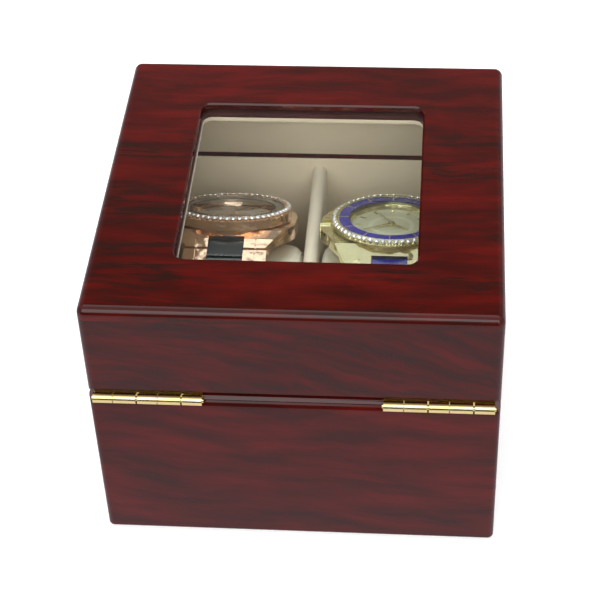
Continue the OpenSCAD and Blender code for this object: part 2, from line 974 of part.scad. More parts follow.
module dial(i) {
    color(dial_colour[i])
        on_watch(i)
            translate([0, 0, dial_z])
                difference() {
                    cylinder(h = dial_t, d = case_bore - 4 * running);
                    translate([0, 0, -over])
                        cylinder(h = dial_t + 2 * over, d = post_d + 2 * running);
                }
}

// Twelve raised batons on each dial, and twelve bars across the gold watch's bezel ring
module hour_markers() {
    baton = [0.8, 2.4, marker_t];
    rail = 1.8;
    bar_w = 0.35;
    bar_t = 0.06;
    for (i = [ROSE, GOLD])
        color(metal[i])
            on_watch(i)
                for (hour = [0:11])
                    rotate(-30 * hour) {
                        translate([-baton[0] / 2, crystal_d[i] / 2 - rail - baton[1], dial_z + dial_t])
                            cube(baton);
                        if (i == GOLD)
                            translate([-bar_w / 2, crystal_d[i] / 2 + 3 * running,
                                       bezel_top - ring_recess + ring_t])
                                cube([bar_w, (ring_d[i] - crystal_d[i]) / 2 - 4 * running, bar_t]);
                    }
}

module movement(i) {
    color(steel)
        on_watch(i)
            difference() {
                union() {
                    translate([0, 0, back_t])
                        cylinder(h = dial_z - back_t, d = case_bore - 4 * running);
                    translate([0, 0, dial_z])
                        cylinder(h = hour_z + hands_h - dial_z, d = post_d);
                }
                translate([stem_in - crown_gap, 0, crown_z[i]])
                    rotate([0, 90, 0])
                        cylinder(h = case_d, d = stem_d + 2 * running);
            }
}

// Flat hand with a hub, in layer k above the dial, of length l, tail t and width w
module hand(i, k, l, t, w) {
    tip_w = w / 3;
    color(metal[i])
        on_watch(i)
            translate([0, 0, hour_z + k * hand_step])
                rotate(-hand_angles[i][k])
                    difference() {
                        union() {
                            cylinder(h = hand_t, d = hub_d - hub_step * k);
                            linear_extrude(hand_t)
                                polygon([[-w / 2, -t], [w / 2, -t], [w / 2, 0], [tip_w / 2, l],
                                         [-tip_w / 2, l], [-w / 2, 0]]);
                        }
                        translate([0, 0, -over])
                            cylinder(h = hand_t + 2 * over, d = post_d + 2 * running);
                    }
}

module hour_hand(i) {
    reach = 0.5;
    hand(i, 0, reach * crystal_d[i] / 2, 0, hour_hand_w);
}

module minute_hand(i) {
    reach = 0.76;
    hand(i, 1, reach * crystal_d[i] / 2, 0, minute_hand_w);
}

module second_hand(i) {
    reach = 0.8;
    hand(i, 2, reach * crystal_d[i] / 2, second_tail, second_hand_w);
}

module stem(i) {
    color(steel)
        on_watch(i)
            translate([stem_in, 0, crown_z[i]])
                rotate([0, 90, 0])
                    cylinder(h = crown_in + stem_grip - stem_in, d = stem_d);
}

// Fluted crown with a blind hole for the stem
module crown(i) {
    flute_d = 0.5;
    hole_l = stem_grip + crown_gap;
    color(metal[i])
        on_watch(i)
            translate([crown_in, 0, crown_z[i]])
                rotate([0, 90, 0])
                    difference() {
                        cylinder(h = crown_reach - crown_in, d = crown_d);
                        translate([0, 0, -over])
                            cylinder(h = hole_l + over, d = stem_d + 2 * running);
                        for (k = [0:flute_count - 1])
                            rotate(k * 360 / flute_count)
                                translate([crown_d / 2, 0, -over])
                                    cylinder(h = crown_reach, d = flute_d, $fn = 16);
                    }
}

module side_links(i) {
    color(metal[i])
        leaning(i)
            for (turn = [-1, 1], k = [0:link_rows - 1], x = [-side_x, side_x])
                link(side_w, x, turn * (lug_s + (k + 0.5) * link_pitch), true);
}

module centre_links(i) {
    color(inlay[i])
        leaning(i)
            for (turn = [-1, 1], k = [0:link_rows])
                link(centre_w, 0, turn * (lug_s + k * link_pitch), false, k == 0 ? lead : 0);
}

// Clasp along the loop's lowest arc, slotted at both ends for the last middle links
module clasp(i) {
    sweep = clasp_l / 2 / loop_r * 180 / PI;
    gap = link_gap / 2 / loop_r * 180 / PI;
    reach = 2 * loop_r;
    color(metal[i])
        leaning(i)
            difference() {
                across(bracelet_w)
                    translate([0, loop_z - loop_b + loop_r])
                        intersection() {
                            difference() {
                                circle(loop_r + link_t / 2);
                                circle(loop_r - link_t / 2);
                            }
                            polygon([[0, 0], [-reach * sin(sweep - gap), -reach * cos(sweep - gap)],
                                     [0, -1.5 * reach],
                                     [reach * sin(sweep - gap), -reach * cos(sweep - gap)]]);
                        }
                for (turn = [-1, 1]) {
                    on_loop(turn * (loop_half - clasp_l / 2))
                        translate([-centre_w / 2 - link_side_gap, -link_pitch / 2, -link_t])
                            cube([centre_w + 2 * link_side_gap, link_pitch, 2 * link_t]);
                    link_pin_hole(turn * (loop_half - clasp_l / 2 + link_pitch / 4));
                }
            }
}

// Pins that join neighbouring links, the first through the lugs and the last through the clasp
module link_pins() {
    recess = 0.3;
    color(steel)
        for (i = [ROSE, GOLD])
            leaning(i)
                for (turn = [-1, 1], k = [0:2 * link_rows + 1])
                    on_loop(turn * (lug_s + (k - 0.5) * link_pitch / 2))
                        across(bracelet_w - 2 * recess)
                            circle(d = link_pin_d);
}

base_front();
base_rear();
base_left();
base_right();
base_bottom();
base_felt();
base_side_linings();
base_end_linings();
base_floor_lining();
divider();
lid_top();
lid_front();
lid_rear();
lid_left();
lid_right();
lid_side_linings();
lid_end_linings();
lid_ceiling();
glass_pane();
base_hinge_leaves();
lid_hinge_leaves();
hinge_pins();
base_hinge_screws();
lid_hinge_screws();
hour_markers();
link_pins();
cushion(ROSE);  // rose_cushion
case(ROSE);  // rose_case
case_back(ROSE);  // rose_case_back
bezel(ROSE);  // rose_bezel
bezel_ring(ROSE);  // rose_bezel_ring
stones(ROSE);  // rose_stones
crystal(ROSE);  // rose_crystal
dial(ROSE);  // rose_dial
movement(ROSE);  // rose_movement
hour_hand(ROSE);  // rose_hour_hand
minute_hand(ROSE);  // rose_minute_hand
second_hand(ROSE);  // rose_second_hand
stem(ROSE);  // rose_stem
crown(ROSE);  // rose_crown
side_links(ROSE);  // rose_side_links
centre_links(ROSE);  // rose_centre_links
clasp(ROSE);  // rose_clasp
cushion(GOLD);  // gold_cushion
case(GOLD);  // gold_case
case_back(GOLD);  // gold_case_back
bezel(GOLD);  // gold_bezel
bezel_ring(GOLD);  // gold_bezel_ring
stones(GOLD);  // gold_stones
crystal(GOLD);  // gold_crystal
dial(GOLD);  // gold_dial
movement(GOLD);  // gold_movement
hour_hand(GOLD);  // gold_hour_hand
minute_hand(GOLD);  // gold_minute_hand
second_hand(GOLD);  // gold_second_hand
stem(GOLD);  // gold_stem
crown(GOLD);  // gold_crown
side_links(GOLD);  // gold_side_links
centre_links(GOLD);  // gold_centre_links
clasp(GOLD);  // gold_clasp
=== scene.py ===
"""Looks of the watch box: lacquered veneer, lining, cushions, watches, light and camera."""

import json
import math
import random

import bmesh
import bpy
from mathutils import Matrix, Vector
from mathutils.bvhtree import BVHTree


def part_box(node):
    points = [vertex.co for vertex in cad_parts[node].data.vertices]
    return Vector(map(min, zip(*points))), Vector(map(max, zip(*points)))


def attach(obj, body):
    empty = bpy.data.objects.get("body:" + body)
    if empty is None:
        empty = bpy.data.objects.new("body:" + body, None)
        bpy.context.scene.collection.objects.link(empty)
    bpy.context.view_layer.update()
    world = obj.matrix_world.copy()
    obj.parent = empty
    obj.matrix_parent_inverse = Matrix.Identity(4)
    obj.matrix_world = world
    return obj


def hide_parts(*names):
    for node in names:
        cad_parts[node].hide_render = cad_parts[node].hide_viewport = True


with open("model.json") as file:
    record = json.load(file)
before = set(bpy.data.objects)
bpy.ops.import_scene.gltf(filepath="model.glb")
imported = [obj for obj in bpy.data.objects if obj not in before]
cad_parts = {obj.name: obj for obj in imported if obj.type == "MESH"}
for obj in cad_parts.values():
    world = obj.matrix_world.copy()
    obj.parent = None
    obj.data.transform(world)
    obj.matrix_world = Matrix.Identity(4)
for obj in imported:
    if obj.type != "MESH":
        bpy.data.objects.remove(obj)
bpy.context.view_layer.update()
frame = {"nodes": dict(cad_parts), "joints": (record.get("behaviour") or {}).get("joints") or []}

MM = 0.001
NODES = frame["nodes"]
# Points of a mesh that lie closer together than this are one point
SAME_POINT = 1e-6

# ---------------------------------------------------------------- camera

# Solved from the photograph: focal length in image widths, the lens's place, and the directions
# that are right and up in the picture
FOCAL = 1777.44 / 600
EYE = Vector((-44.798, 452.266, 463.155)) * MM
RIGHT = Vector((-0.99664737, -0.07452311, -0.03376863))
UP = Vector((0.02560045, -0.67605813, 0.73640344))
# Width of the sensor in millimetres, which only sets the unit of the lens
SENSOR = 36


def into_scene(made):
    bpy.context.scene.collection.objects.link(made)
    return made


def make_camera():
    data = bpy.data.cameras.new("camera")
    data.sensor_width = SENSOR
    data.lens = FOCAL * SENSOR
    data.clip_start = 0.01
    camera = into_scene(bpy.data.objects.new("camera", data))
    turn = Matrix((RIGHT, UP, RIGHT.cross(UP))).transposed().to_4x4()
    camera.matrix_world = Matrix.Translation(EYE) @ turn
    bpy.context.scene.camera = camera


# ---------------------------------------------------------------- node helpers


def scaled(values, share):
    return tuple(value * share for value in values)


class Tree:
    """Builds the nodes of one node tree with short calls."""

    def __init__(self, tree):
        self.tree = tree

    def add(self, kind, **settings):
        made = self.tree.nodes.new(kind)
        for key, value in settings.items():
            setattr(made, key, value)
        return made

    def join(self, source, target):
        self.tree.links.new(source, target)

    def put(self, target, value):
        """Sets a socket to a number or colour, or links it to another socket."""
        if isinstance(value, bpy.types.NodeSocket):
            self.join(value, target)
        elif isinstance(value, (tuple, list)) and len(value) == 3 and target.type == "RGBA":
            target.default_value = (*value, 1)
        else:
            target.default_value = value

    def place(self, scale=(1, 1, 1), turn=(0, 0, 0)):
        """Coordinates in the object's own space, stretched and turned."""
        mapping = self.add("ShaderNodeMapping")
        self.join(self.add("ShaderNodeTexCoord").outputs["Object"], mapping.inputs["Vector"])
        mapping.inputs["Scale"].default_value = scale
        mapping.inputs["Rotation"].default_value = turn
        return mapping.outputs["Vector"]

    def coordinate(self, axis):
        """One of the coordinates in the object's own space: "X", "Y" or "Z"."""
        parts = self.add("ShaderNodeSeparateXYZ")
        self.join(self.place(), parts.inputs["Vector"])
        return parts.outputs[axis]

    def vectors(self, operation, *values):
        made = self.add("ShaderNodeVectorMath", operation=operation)
        for socket, value in zip(made.inputs, values):
            self.put(socket, value)
        return made.outputs["Value" if operation == "LENGTH" else "Vector"]

    def maths(self, operation, *values):
        made = self.add("ShaderNodeMath", operation=operation)
        for socket, value in zip(made.inputs, values):
            self.put(socket, value)
        return made.outputs["Value"]

    def noise(self, vector, scale, detail, rough=0.5, warp=0.0, output="Fac"):
        made = self.add("ShaderNodeTexNoise")
        self.join(vector, made.inputs["Vector"])
        made.inputs["Scale"].default_value = scale
        made.inputs["Detail"].default_value = detail
        made.inputs["Roughness"].default_value = rough
        made.inputs["Distortion"].default_value = warp
        return made.outputs[output]

    def warped(self, vector, scale, strength):
        """Coordinates pushed about by slow noise, so that streaks drawn on them bend."""
        slow = self.noise(vector, scale, detail=1.5, output="Color")
        level = self.vectors("SUBTRACT", slow, (0.5, 0.5, 0.5))
        return self.vectors("MULTIPLY_ADD", level, strength, vector)

    def ramp(self, factor, *stops):
        """Colours or levels between stops, which are pairs of a factor and what it gives."""
        made = self.add("ShaderNodeValToRGB")
        self.join(factor, made.inputs["Fac"])
        while len(made.color_ramp.elements) < len(stops):
            made.color_ramp.elements.new(1)
        for element, (position, shade) in zip(made.color_ramp.elements, stops):
            element.position = position
            element.color = (*shade, 1) if isinstance(shade, tuple) else (shade, shade, shade, 1)
        return made.outputs["Color"]

    def mix(self, factor, first, second):
        made = self.add("ShaderNodeMix", data_type="RGBA")
        self.put(made.inputs["Factor"], factor)
        self.put(made.inputs["A"], first)
        self.put(made.inputs["B"], second)
        return made.outputs["Result"]

    def blend(self, factor, first, second):
        """Mix of two shaders."""
        made = self.add("ShaderNodeMixShader")
        self.join(factor, made.inputs["Fac"])
        self.join(first, made.inputs[1])
        self.join(second, made.inputs[2])
        return made.outputs["Shader"]

    def glow(self, colour, strength):
        made = self.add("ShaderNodeEmission")
        self.put(made.inputs["Color"], colour)
        made.inputs["Strength"].default_value = strength
        return made.outputs["Emission"]

    def bump(self, height, distance, strength=1.0, under=None):
        made = self.add("ShaderNodeBump")
        made.inputs["Distance"].default_value = distance
        made.inputs["Strength"].default_value = strength
        self.join(height, made.inputs["Height"])
        if under:
            self.join(under, made.inputs["Normal"])
        return made.outputs["Normal"]


class Graph(Tree):
    """A new material and its nodes."""

    def __init__(self, name):
        self.material = bpy.data.materials.new(name)
        self.material.use_nodes = True
        super().__init__(self.material.node_tree)

    def finish(self, **sockets):
        """Sets the Principled shader's sockets, and gives the finished material."""
        shader = self.tree.nodes["Principled BSDF"]
        for name, value in sockets.items():
            self.put(shader.inputs[name.replace("_", " ")], value)
        return self.material

    def show(self, shader):
        """Puts another shader on the surface, and gives the finished material."""
        self.join(shader, self.tree.nodes["Material Output"].inputs["Surface"])
        return self.material


# ---------------------------------------------------------------- measures from the frame


def dial_axis(watch):
    """Centre and outward axis of a watch's dial: its hands' axis, which leaves the case back."""
    back = [v.co for v in NODES[f"{watch}_case_back"].data.vertices]
    middle = sum(back, Vector()) / len(back)
    joint = next(j for j in frame["joints"] if j["name"] == f"{watch}_minute_turn")
    axis = -Vector(joint["axis"]).normalized()
    centre = Vector(joint["pos_m"])
    return centre, axis if (centre - middle).dot(axis) > 0 else -axis


def leaning_frame(watch):
    """Matrix of a cushion's own frame, with x across the box and z toward the watch."""
    low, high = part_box(f"{watch}_cushion")
    centre = (Vector(low) + Vector(high)) / 2
    up = dial_axis(watch)[1]
    across = Vector((1, 0, 0))
    turn = Matrix((across, up.cross(across), up)).transposed().to_4x4()
    return Matrix.Translation(centre) @ turn


# ---------------------------------------------------------------- materials

WOOD_DEEP = (0.045, 0.0040, 0.0028)
WOOD_RED = (0.074, 0.0043, 0.0029)
WOOD_BRIGHT = (0.110, 0.0054, 0.0036)
WOOD_DARK = (0.018, 0.0056, 0.0040)
# How far slow noise pushes the veneer's grain along, across and into the board
GRAIN_PUSH = (0.004, 0.008, 0.016)
# Share of their darkness that the veneer's streaks keep where they fade, a painted reflection haze
FADED = 0.22
# Wood at the edge of a lining board, painted as dark as it looks in shade: partly its own colour
# and partly painted shade
SHADED_WOOD_DARK = (0.062, 0.017, 0.014)
SHADED_WOOD_LIGHT = (0.088, 0.023, 0.018)
# Height at which the cloth on the board under the glass ends
CLOTH_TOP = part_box("lid_ceiling")[1][2] - 1.3 * MM
# Share of light that a glass face returns when seen straight on, and what it gains at a glance
FACE_ON_GLOSS = 0.035
GLANCING_GLOSS = 0.9
# Radius of a dial, which places its lighter rings, and the step of the ripple round its centre
DIAL_R = 15.5 * MM
DIAL_RIPPLE = 1.1 * MM
# Brightness added to the floor where it is looked at, and its even brightness in reflections
FLOOR_LIFT = 0.32
FLOOR_IN_GLOSS = 0.98


def veneer(name, along="X", slant=0.0, bend=1.0, figure=0.5, contrast=0.9, tone=1.0, fade=None):
    """Lacquered rosewood veneer: deep red with dark wavy streaks that run along one axis.

    The grain leans by slant degrees, and bend says how much it wavers. figure says how much of
    the board is streaked, contrast how dark the streaks are, and tone how bright the red is.
    fade is two places along Y: the streaks are faint before the first and full from the second."""
    g = Graph(name)
    lean = math.radians(slant)
    grain = g.place(turn=(0, lean, 0) if along == "X" else (lean, 0, math.radians(90)))
    push = scaled(GRAIN_PUSH, bend)
    flow = g.warped(g.warped(grain, 17, push), 70, scaled(push, 0.2))

    def streaky(length, width, detail, rough=0.5, warp=0.0):
        """Noise in patches of about this length and width, in metres, along the grain."""
        stretched = g.vectors("MULTIPLY", flow, (1 / length, 1 / width, 1 / width))
        return g.noise(stretched, 1, detail, rough, warp)

    patches = streaky(0.050, 0.013, detail=2)
    streaks = streaky(0.022, 0.0026, detail=3, rough=0.62, warp=0.25)
    fibres = streaky(0.016, 0.00065, detail=3, rough=0.7)
    reds = streaky(0.035, 0.006, detail=2)
    deep, mid, bright = (scaled(wood, tone) for wood in (WOOD_DEEP, WOOD_RED, WOOD_BRIGHT))
    red = g.ramp(reds, (0.35, deep), (0.5, mid), (0.68, bright))
    where = g.ramp(patches, (0.62 - 0.36 * figure, 0.08), (0.78 - 0.36 * figure, 1.0))
    dark = g.maths("MULTIPLY", g.ramp(streaks, (0.44, 0.0), (0.60, contrast)), where)
    # Painted reflection: the streaks fade along Y, in place of the haze that the lacquer's reflection
    # lays over them
    if fade:
        span = g.add("ShaderNodeMapRange")
        g.join(g.coordinate("Y"), span.inputs["Value"])
        span.inputs["From Min"].default_value = fade[0]
        span.inputs["From Max"].default_value = fade[1]
        span.inputs["To Min"].default_value = FADED
        dark = g.maths("MULTIPLY", dark, span.outputs["Result"])
    colour = g.mix(dark, red, WOOD_DARK)
    colour = g.mix(g.ramp(fibres, (0.34, 0.40), (0.60, 0.0)), colour, WOOD_DARK)
    colour = g.mix(g.ramp(fibres, (0.58, 0.0), (0.75, 0.25)), colour, bright)
    ripple = g.noise(g.place(), 70, detail=2)
    return g.finish(Base_Color=colour, Roughness=0.5, Specular_IOR_Level=0.0, Coat_Weight=0.65,
                    Coat_Roughness=0.03, Coat_IOR=1.48, Coat_Normal=g.bump(ripple, 0.0004, 0.10))


def suede(name, low, high, cloth_top=None):
    """Soft short-napped cloth that varies a little from patch to patch.

    Above the height cloth_top, if given, the cloth ends and the board is painted the dark brown of
    wood in shade: partly the wood's own colour, partly painted shade."""
    g = Graph(name)
    patches = g.noise(g.place(), 45, detail=4, rough=0.6)
    nap = g.noise(g.place(), 2400, detail=2, rough=0.7)
    colour = g.mix(patches, low, high)
    colour = g.mix(g.ramp(nap, (0.35, 0.16), (0.65, 0.0)), colour, scaled(low, 0.72))
    if cloth_top:
        # Painted shade, in part: above cloth_top the board takes the dark of wood lying in shade
        shaded_wood = g.maths("GREATER_THAN", g.coordinate("Z"), cloth_top)
        colour = g.mix(shaded_wood, colour, g.ramp(patches, (0.3, SHADED_WOOD_DARK), (0.7, SHADED_WOOD_LIGHT)))
    return g.finish(Base_Color=colour, Roughness=0.92, Sheen_Weight=0.25, Sheen_Roughness=0.45,
                    Specular_IOR_Level=0.15, Normal=g.bump(nap, 0.00012, 0.6))


def felt():
    g = Graph("felt")
    fluff = g.noise(g.place(), 1500, detail=3, rough=0.8)
    colour = g.ramp(fluff, (0.3, (0.008, 0.008, 0.009)), (0.7, (0.03, 0.03, 0.032)))
    return g.finish(Base_Color=colour, Roughness=0.95, Sheen_Weight=0.3,
                    Normal=g.bump(fluff, 0.0003))


def plated(name, colour, roughness, wavy=0.0, metallic=1.0):
    """Polished plated metal with faint hand-polish marks and slightly duller patches.

    wavy is the depth, in metres, of the slow unevenness that breaks its reflections up."""
    g = Graph(name)
    haze = g.noise(g.place(), 300, detail=3, rough=0.6)
    lines = g.noise(g.place(scale=(1, 14, 14)), 700, detail=2)
    tint = g.mix(haze, colour, scaled(colour, 0.82))
    rough = g.ramp(haze, (0.3, roughness), (0.75, roughness + 0.049))
    normal = g.bump(lines, 0.00002, 0.25)
    if wavy:
        normal = g.bump(g.noise(g.place(), 330, detail=0.5), wavy, under=normal)
    return g.finish(Base_Color=tint, Metallic=metallic, Roughness=rough, Normal=normal)


def brushed(name, colour):
    """Metal with fine lines across X."""
    g = Graph(name)
    lines = g.noise(g.place(scale=(1, 30, 30)), 500, detail=3, rough=0.7)
    tint = g.mix(lines, scaled(colour, 0.8), colour)
    return g.finish(Base_Color=tint, Metallic=1.0, Roughness=0.32,
                    Normal=g.bump(lines, 0.00003, 0.5))


def ceramic(name, colour, light):
    """Polished coloured ceramic with fine lines across it."""
    g = Graph(name)
    tint = g.mix(g.noise(g.place(), 260, detail=2), colour, light)
    wave = g.add("ShaderNodeTexWave", wave_type="BANDS", bands_direction="Z")
    g.join(g.place(), wave.inputs["Vector"])
    wave.inputs["Scale"].default_value = 420
    wave.inputs["Distortion"].default_value = 0.4
    return g.finish(Base_Color=tint, Roughness=0.16, Coat_Weight=0.6, Coat_Roughness=0.06,
                    Normal=g.bump(wave.outputs["Fac"], 0.00006, 0.5))


def clear_glass(name, tint):
    """Thin clear glass: passes light straight, with gloss by angle."""
    g = Graph(name)
    smear = g.noise(g.place(), 60, detail=3)
    gloss = g.add("ShaderNodeBsdfGlossy")
    g.join(g.ramp(smear, (0.4, 0.012), (0.8, 0.03)), gloss.inputs["Roughness"])
    clear = g.add("ShaderNodeBsdfTransparent")
    clear.inputs["Color"].default_value = (*tint, 1)
    facing = g.add("ShaderNodeLayerWeight").outputs["Facing"]
    fresnel = g.maths("MULTIPLY_ADD", g.maths("POWER", facing, 5), GLANCING_GLOSS, FACE_ON_GLOSS)
    return g.show(g.blend(fresnel, clear.outputs["BSDF"], gloss.outputs["BSDF"]))


def stone():
    g = Graph("cut_stone")
    # Painted fire: the white shifts a little toward blue and toward warm from patch to patch, in
    # place of the light that the facets split
    painted_fire = g.noise(g.place(), 900, detail=1)
    colour = g.ramp(painted_fire, (0.3, (0.93, 0.95, 1.0)), (0.7, (1.0, 0.98, 0.93)))
    return g.finish(Base_Color=colour, Metallic=0.7, Roughness=0.06, Coat_Weight=1.0,
                    Coat_Roughness=0.02, Coat_IOR=2.1)


def dial_face(name, colour, ring, watch):
    """Dial with two lighter rings and a fine round ripple, centred on the watch's post."""
    g = Graph(name)
    sun = g.noise(g.place(), 900, detail=2)
    centre, axis = dial_axis(watch)
    mapping = g.add("ShaderNodeMapping", vector_type="POINT")
    here = g.add("ShaderNodeTexCoord").outputs["Object"]
    g.join(g.vectors("SUBTRACT", here, centre), mapping.inputs["Vector"])
    upright = Vector((0, 0, 1)).rotation_difference(axis).inverted()
    mapping.inputs["Rotation"].default_value = upright.to_euler()
    radius = g.vectors("LENGTH", g.vectors("MULTIPLY", mapping.outputs["Vector"], (1, 1, 0)))
    wave = g.maths("SINE", g.maths("MULTIPLY", radius, 2 * math.pi / DIAL_RIPPLE))
    # Two lighter rings at set shares of the radius
    ring_bands = g.ramp(g.maths("MULTIPLY", radius, 1 / DIAL_R),
                    (0.0, 0.0), (0.40, 0.0), (0.42, 1.0), (0.50, 1.0), (0.52, 0.0), (0.74, 0.0),
                    (0.76, 0.8), (0.82, 0.8), (0.84, 0.0))
    tint = g.mix(ring_bands, g.mix(sun, colour, scaled(colour, 0.8)), ring)
    return g.finish(Base_Color=tint, Metallic=0.2, Roughness=0.34,
                    Normal=g.bump(wave, 0.00008, 0.25))


def pale_floor():
    """White paper that keeps the object's shadow, and that gloss sees at an even brightness."""
    g = Graph("floor")
    speckle = g.noise(g.place(), 90, detail=2)
    paper = g.add("ShaderNodeBsdfDiffuse")
    g.join(g.ramp(speckle, (0.2, 0.80), (0.8, 0.82)), paper.inputs["Color"])
    lit = g.add("ShaderNodeAddShader")
    g.join(paper.outputs["BSDF"], lit.inputs[0])
    g.join(g.glow((1, 1, 1), FLOOR_LIFT), lit.inputs[1])
    even = g.glow(g.ramp(speckle, (0.2, (0.95, 0.90, 0.98)), (0.8, (0.98, 0.93, 1.0))),
                  FLOOR_IN_GLOSS)
    ray = g.add("ShaderNodeLightPath").outputs
    looks = g.maths("MAXIMUM", ray["Is Camera Ray"], ray["Is Transmission Ray"])
    plain = g.blend(looks, paper.outputs["BSDF"], lit.outputs["Shader"])
    return g.show(g.blend(ray["Is Glossy Ray"], plain, even))


# ---------------------------------------------------------------- dressing and edges

# Faces that meet at less than this angle are shaded as one round surface
ROUND_ANGLE = math.radians(35)
# Edges sharper than this are eased
SHARP_ANGLE = math.radians(38)
EASED_LINING = 0.8 * MM
EASED_GROOVE = 1.3 * MM
# The hinge groove's edges lie behind and above these places, and their faces meet at this angle
GROOVE_FROM_Y = 60 * MM
GROOVE_FROM_Z = 58 * MM
GROOVE_ANGLES = math.radians(30), math.radians(60)
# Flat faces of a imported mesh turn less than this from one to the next
FLAT_ANGLE = math.radians(0.5)


def wear(piece, material):
    piece.data.materials.clear()
    piece.data.materials.append(material)


def dress(material, *names):
    for name in names:
        wear(NODES[name], material)


def smooth_faces(data):
    for face in data.polygons:
        face.use_smooth = True


def shade_round(piece):
    """Smooth shading on the round faces, with the sharp edges kept."""
    piece.modifiers.new("split", "EDGE_SPLIT").split_angle = ROUND_ANGLE
    smooth_faces(piece.data)


def ease_edges(name):
    """Rounds a lining's sharp edges a little where it is drawn, as its cloth does."""
    node = NODES[name]
    node.modifiers.new("weld", "WELD").merge_threshold = SAME_POINT
    bevel = node.modifiers.new("eased", "BEVEL")
    bevel.width = EASED_LINING
    bevel.segments = 3
    bevel.limit_method = "ANGLE"
    bevel.angle_limit = SHARP_ANGLE
    bevel.use_clamp_overlap = False


def eased_groove():
    """The base's rear wall, whose hinge groove has the soft edges of sanded and lacquered wood."""
    node = NODES["base_rear"]
    mesh = bmesh.new()
    mesh.from_mesh(node.data)
    bmesh.ops.remove_doubles(mesh, verts=mesh.verts, dist=SAME_POINT)
    bmesh.ops.dissolve_limit(mesh, angle_limit=FLAT_ANGLE, verts=mesh.verts, edges=mesh.edges)
    chosen = []
    for edge in mesh.edges:
        middle = (edge.verts[0].co + edge.verts[1].co) / 2
        if len(edge.link_faces) == 2 and middle.y > GROOVE_FROM_Y and middle.z > GROOVE_FROM_Z:
            if GROOVE_ANGLES[0] < edge.calc_face_angle() < GROOVE_ANGLES[1]:
                chosen.append(edge)
    bmesh.ops.bevel(mesh, geom=chosen, offset=EASED_GROOVE, segments=5, profile=0.5,
                    affect="EDGES", clamp_overlap=False)
    data = node.data.copy()
    mesh.to_mesh(data)
    mesh.free()
    piece = into_scene(bpy.data.objects.new("base_rear_lacquered", data))
    shade_round(piece)
    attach(piece, "base")
    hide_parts("base_rear")


def dress_box():
    # The top's streaks fade toward the front: painted reflection haze
    dress(veneer("veneer_top", tone=0.86, fade=(-0.055, -0.025)), "lid_top")
    # Low tones on the rear faces: partly painted shade against the strong rear lamp, partly the
    # veneers' own tone
    dress(veneer("veneer_lid_rear", slant=12, bend=1.6, figure=0.9, contrast=0.6, tone=0.7),
          "lid_rear")
    dress(veneer("veneer_base_rear", slant=4, bend=0.9, figure=0.2, contrast=0.3, tone=0.78),
          "base_rear")
    dress(veneer("veneer_front"), "base_front", "lid_front", "base_bottom")
    dress(veneer("veneer_sides", "Y"), "base_left", "base_right", "lid_left", "lid_right")
    dress(felt(), "base_felt")
    lining = (0.82, 0.70, 0.52), (0.87, 0.75, 0.565)
    dress(suede("lining", *lining), "base_side_linings", "base_end_linings",
          "base_floor_lining", "lid_side_linings", "lid_end_linings")
    dress(suede("ceiling_cloth", *lining, cloth_top=CLOTH_TOP), "lid_ceiling")
    dress(suede("divider_velour", (0.82, 0.73, 0.59), (0.87, 0.78, 0.64)), "divider")
    dress(plated("brass", (0.93, 0.75, 0.35), roughness=0.2), "base_hinge_leaves",
          "lid_hinge_leaves", "hinge_pins", "base_hinge_screws", "lid_hinge_screws")
    dress(clear_glass("window_glass", (0.97, 0.985, 0.98)), "glass_pane")


def dress_watches():
    """Materials of the watches, their cut stones and prongs, and the pillows under them."""
    crystal = clear_glass("crystal", (0.99, 0.99, 0.99))
    steel = brushed("steel", (0.62, 0.62, 0.63))
    cushion = suede("cushion_velour", (0.86, 0.81, 0.66), (0.91, 0.86, 0.72))
    plate = {"roughness": 0.12, "wavy": 0.0005, "metallic": 0.85}
    metals = {
        "rose": plated("rose_gold", (0.97, 0.70, 0.50), **plate),
        "gold": plated("yellow_gold", (0.86, 0.80, 0.48), **plate),
    }
    inlays = {
        "rose": ceramic("black_ceramic", (0.012, 0.013, 0.015), (0.03, 0.032, 0.035)),
        "gold": ceramic("blue_ceramic", (0.02, 0.02, 0.22), (0.035, 0.035, 0.30)),
    }
    dials = {
        "rose": dial_face("taupe_dial", (0.74, 0.60, 0.46), (0.82, 0.68, 0.55), "rose"),
        "gold": dial_face("champagne_dial", (0.80, 0.82, 0.58), (0.86, 0.88, 0.66), "gold"),
    }
    gems = stone()
    around = neighbours()
    for watch in ("rose", "gold"):
        dress(metals[watch], *(f"{watch}_{part}" for part in (
            "case", "case_back", "bezel", "hour_hand", "minute_hand", "second_hand", "crown",
            "side_links", "clasp")))
        dress(inlays[watch], f"{watch}_bezel_ring", f"{watch}_centre_links")
        dress(dials[watch], f"{watch}_dial")
        dress(crystal, f"{watch}_crystal")
        cut_stones(watch, gems)
        prongs(watch, metals[watch])
        dress(steel, f"{watch}_movement", f"{watch}_stem")
        pillow(watch, cushion, around)
    dress(metals["gold"], "hour_markers")
    dress(steel, "link_pins")


def finish_edges():
    for name in ("lid_end_linings", "lid_side_linings", "base_end_linings", "base_side_linings"):
        ease_edges(name)
    eased_groove()
    for node in NODES.values():
        shade_round(node)


def mesh_piece(name, mesh):
    """New object made from a finished bmesh, which is freed."""
    data = bpy.data.meshes.new(name)
    mesh.to_mesh(data)
    mesh.free()
    return into_scene(bpy.data.objects.new(name, data))


# ---------------------------------------------------------------- pillows

# The cover starts a little smaller than the plain cushion, because the stuffing swells it: this
# much shorter at each end, and these shares of its depth and height
START_SHORTER = 0.5 * MM
START_DEPTH = 0.955
START_HEIGHT = 0.94
COVER_VOXEL = 3 * MM
STUFFING_FRAMES = 18
STUFFING_PRESSURE = 4.0
# Furthest that the stuffing may move a point of the cover
STUFFING_REACH = 7 * MM
# Furthest that the cover may stand out past the plain cushion, beside the bracelet
PILLOW_BULGE = 4.2 * MM
